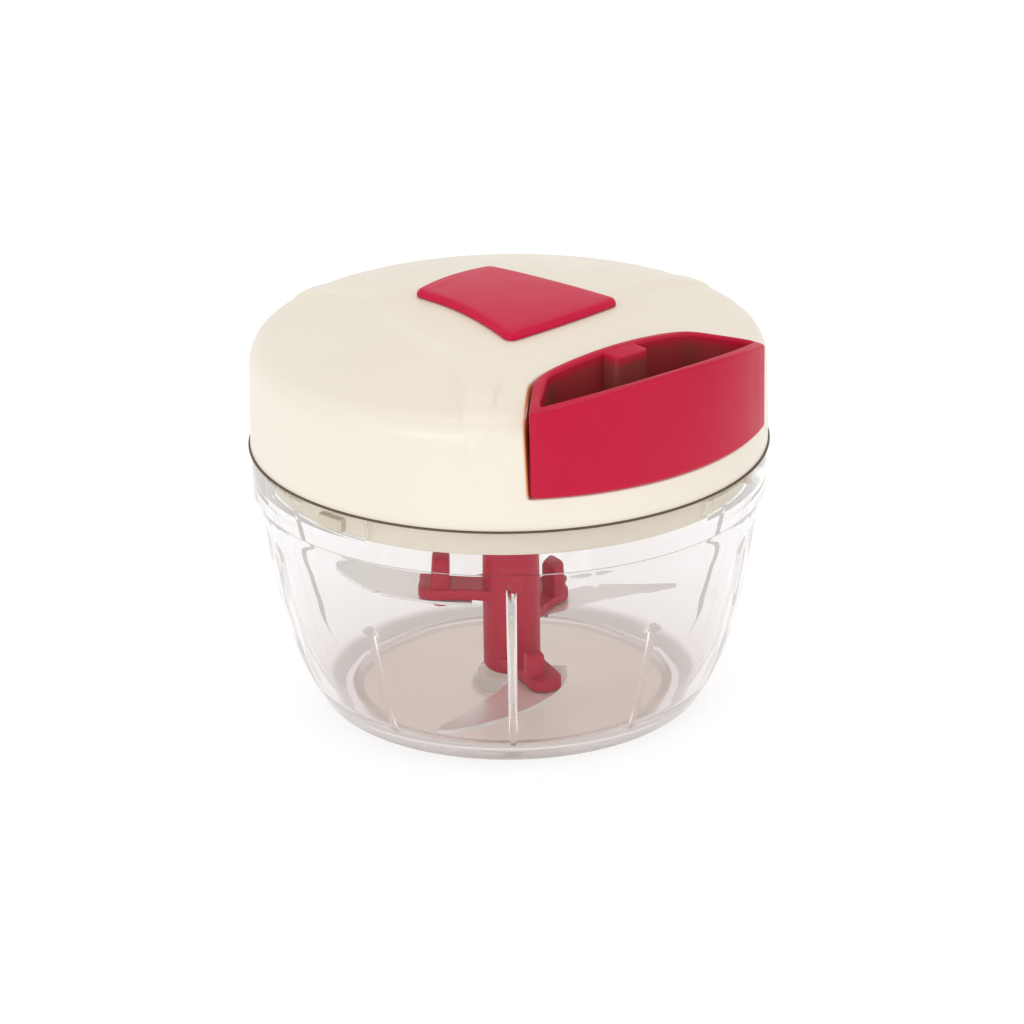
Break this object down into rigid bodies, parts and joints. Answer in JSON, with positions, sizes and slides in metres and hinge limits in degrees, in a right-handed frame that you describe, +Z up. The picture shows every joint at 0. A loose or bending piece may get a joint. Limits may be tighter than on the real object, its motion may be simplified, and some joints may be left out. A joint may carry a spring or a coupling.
{
  "type": "pull-cord food chopper",
  "caption": "Round countertop food chopper: clear bowl, cream twist-lock lid with red pull-cord handle, and a red shaft with curved steel blades.",
  "frame": {"origin": "centre of the bowl's flat underside, on the axis of the bowl and the blade shaft", "axes": "+Z up along the bowl's axis, -Y towards the front of the picture, +X to its right; the handle is pulled along (0.635, -0.773, 0)"},
  "size_m": [0.126, 0.1269, 0.1043],
  "materials": {
    "bowl_clear": "clear and polished",
    "cover_cream": "semi-gloss",
    "deck_cream": "semi-gloss",
    "handle_crimson": "semi-gloss",
    "badge_crimson": "semi-gloss",
    "rotor_crimson": "semi-gloss",
    "seal_rubber": "matt",
    "blade_steel": "polished",
    "plain_steel": "satin",
    "spring_steel": "satin",
    "drive_plastic": "matt",
    "cap_grey": "matt",
    "cord_white": "braided"
  },
  "bodies": {
    "bowl_group": {"bowl": "bowl_clear", "pivot_pin": "plain_steel"},
    "seal_group": {"rim_seal": "seal_rubber"},
    "lid_group": {"lid_cover": "cover_cream", "badge_plate": "badge_crimson", "lid_base": "deck_cream", "base_screw_1": "plain_steel", "base_screw_2": "plain_steel", "base_screw_3": "plain_steel", "base_screw_4": "plain_steel", "cord_guide": "plain_steel", "cord_run": "cord_white", "spring_arbor": "plain_steel", "thrust_washer": "plain_steel"},
    "pulley_group": {"pulley": "drive_plastic", "recoil_spring": "spring_steel", "spring_cap": "cap_grey", "cord_winding": "cord_white"},
    "handle_group": {"pull_handle": "handle_crimson", "cord_knot": "cord_white"},
    "rotor_group": {"blade_shaft": "rotor_crimson", "blade_upper": "blade_steel", "blade_middle": "blade_steel", "blade_lower": "blade_steel", "blade_peg_upper": "rotor_crimson", "blade_peg_middle": "rotor_crimson", "blade_peg_lower": "rotor_crimson"}
  },
  "joints": [
    {"name": "lid_lift", "type": "slide", "parent": "bowl_group", "child": "seal_group", "axis": [0, 0, 1], "range_m": [0, 0.115]},
    {"name": "lid_turn", "type": "hinge", "parent": "seal_group", "child": "lid_group", "pos_m": [0, 0, 0.0666], "axis": [0, 0, 1], "range_deg": [-22, 0]},
    {"name": "handle_pull", "type": "slide", "parent": "lid_group", "child": "handle_group", "axis": [0.6347, -0.7727, 0], "range_m": [0, 0.3], "stiffness_N_per_m": 10, "springref_m": -0.1},
    {"name": "pulley_spin", "type": "hinge", "parent": "lid_group", "child": "pulley_group", "pos_m": [0, 0, 0.075], "axis": [0, 0, 1], "range_deg": [-860, 0]},
    {"name": "rotor_spin", "type": "hinge", "parent": "lid_group", "child": "rotor_group", "pos_m": [0, 0, 0.035], "axis": [0, 0, 1], "range_deg": [-860, 0]}
  ],
  "couplings": [
    {"joint": "pulley_spin", "follows": "handle_pull", "rad_per_m": -50},
    {"joint": "rotor_spin", "follows": "handle_pull", "rad_per_m": -50}
  ]
}
